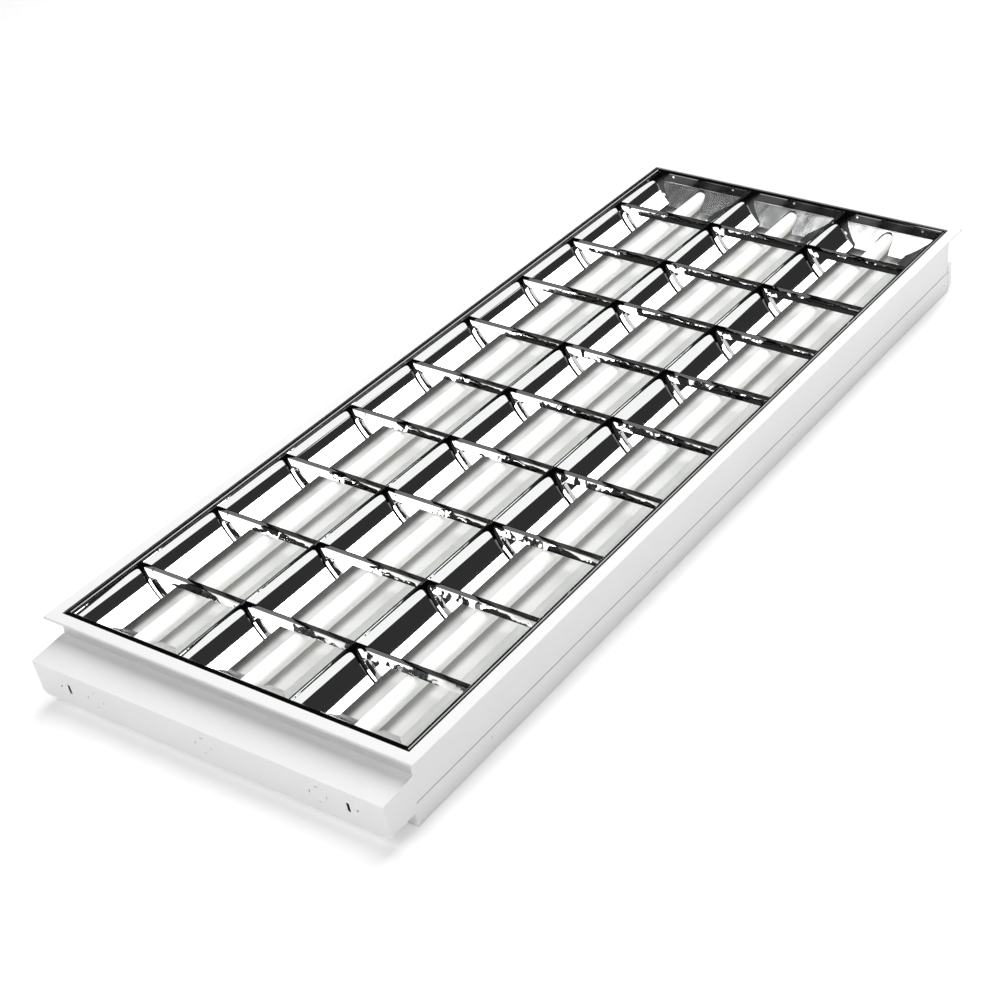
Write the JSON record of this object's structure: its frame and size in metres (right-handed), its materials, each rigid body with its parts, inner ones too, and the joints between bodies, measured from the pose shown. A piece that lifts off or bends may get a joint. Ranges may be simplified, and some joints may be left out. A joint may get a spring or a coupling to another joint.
{
  "type": "recessed troffer light",
  "caption": "Long recessed ceiling light with white sheet housing and trim flange, tubular lamps, and a hinged mirror louvre of parabolic dividers and cross blades.",
  "frame": {"origin": "middle of the flat back of the housing, below the middle of the trim flange", "axes": "+Z from the back of the housing towards the louvre and the room, +Y along the lamps, +X across them; the part lies on its back as pictured and is turned over (+Z down) when installed in a ceiling"},
  "size_m": [0.597, 1.5928, 0.115],
  "materials": {
    "white_steel": "satin white powder coat",
    "mirror_aluminium": "bright anodised, specular",
    "lamp_glass": "phosphor coated, opal white",
    "lamp_cap": "satin",
    "contact_brass": "bright",
    "white_plastic": "moulded",
    "zinc_steel": "zinc plated",
    "ballast_steel": "satin",
    "grey_plastic": "moulded",
    "cord_sleeve": "insulated wire",
    "black_rubber": "moulded"
  },
  "bodies": {
    "housing": {"body_frame": "white_steel", "back_tray": "white_steel", "connection_box": "white_steel", "end_cover": "white_steel", "base_plate": "white_steel", "plate_screws": "zinc_steel", "wall_rivets": "zinc_steel", "lampholders_near": "white_plastic", "lampholders_far": "white_plastic", "ballast_twin_case": "ballast_steel", "ballast_twin_terminals": "grey_plastic", "ballast_single_case": "ballast_steel", "ballast_single_terminals": "grey_plastic", "terminal_block": "white_plastic", "terminal_screws": "zinc_steel", "earth_stud": "contact_brass", "entry_grommet": "black_rubber", "wiring_mains": "cord_sleeve", "wiring_lamps_near": "cord_sleeve", "wiring_lamps_far": "cord_sleeve", "hinge_brackets": "zinc_steel", "hinge_pins": "zinc_steel", "catch_ledges": "zinc_steel", "louvre_rests": "white_steel"},
    "louvre": {"louvre_frame": "mirror_aluminium", "side_reflector_left": "mirror_aluminium", "side_reflector_right": "mirror_aluminium", "divider_left": "mirror_aluminium", "divider_right": "mirror_aluminium", "end_reflector_near": "mirror_aluminium", "end_reflector_far": "mirror_aluminium", "hinge_knuckles": "zinc_steel", "catch_guides": "grey_plastic", "louvre_rivets": "lamp_cap", "cross_blade_1": "mirror_aluminium", "cross_blade_2": "mirror_aluminium", "cross_blade_3": "mirror_aluminium", "cross_blade_4": "mirror_aluminium", "cross_blade_5": "mirror_aluminium", "cross_blade_6": "mirror_aluminium", "cross_blade_7": "mirror_aluminium", "cross_blade_8": "mirror_aluminium", "cross_blade_9": "mirror_aluminium"},
    "catch_near": {"catch_bolt_near": "zinc_steel"},
    "catch_far": {"catch_bolt_far": "zinc_steel"},
    "lamp_1": {"lamp_1_tube": "lamp_glass", "lamp_1_caps": "lamp_cap", "lamp_1_pins": "contact_brass", "rotors_1": "white_plastic"},
    "lamp_2": {"lamp_2_tube": "lamp_glass", "lamp_2_caps": "lamp_cap", "lamp_2_pins": "contact_brass", "rotors_2": "white_plastic"},
    "lamp_3": {"lamp_3_tube": "lamp_glass", "lamp_3_caps": "lamp_cap", "lamp_3_pins": "contact_brass", "rotors_3": "white_plastic"}
  },
  "joints": [
    {"name": "louvre_swing", "type": "hinge", "parent": "housing", "child": "louvre", "pos_m": [-0.2757, 0, 0.1104], "axis": [0, -1, 0], "range_deg": [0, 90]},
    {"name": "catch_near_slide", "type": "slide", "parent": "louvre", "child": "catch_near", "axis": [-1, 0, 0], "range_m": [0, 0.0022]},
    {"name": "catch_far_slide", "type": "slide", "parent": "louvre", "child": "catch_far", "axis": [-1, 0, 0], "range_m": [0, 0.0022]},
    {"name": "lamp_1_turn", "type": "hinge", "parent": "housing", "child": "lamp_1", "pos_m": [-0.181, 0, 0.08], "axis": [0, 1, 0], "range_deg": [0, 90]},
    {"name": "lamp_2_turn", "type": "hinge", "parent": "housing", "child": "lamp_2", "pos_m": [0, 0, 0.08], "axis": [0, 1, 0], "range_deg": [0, 90]},
    {"name": "lamp_3_turn", "type": "hinge", "parent": "housing", "child": "lamp_3", "pos_m": [0.181, 0, 0.08], "axis": [0, 1, 0], "range_deg": [0, 90]}
  ]
}
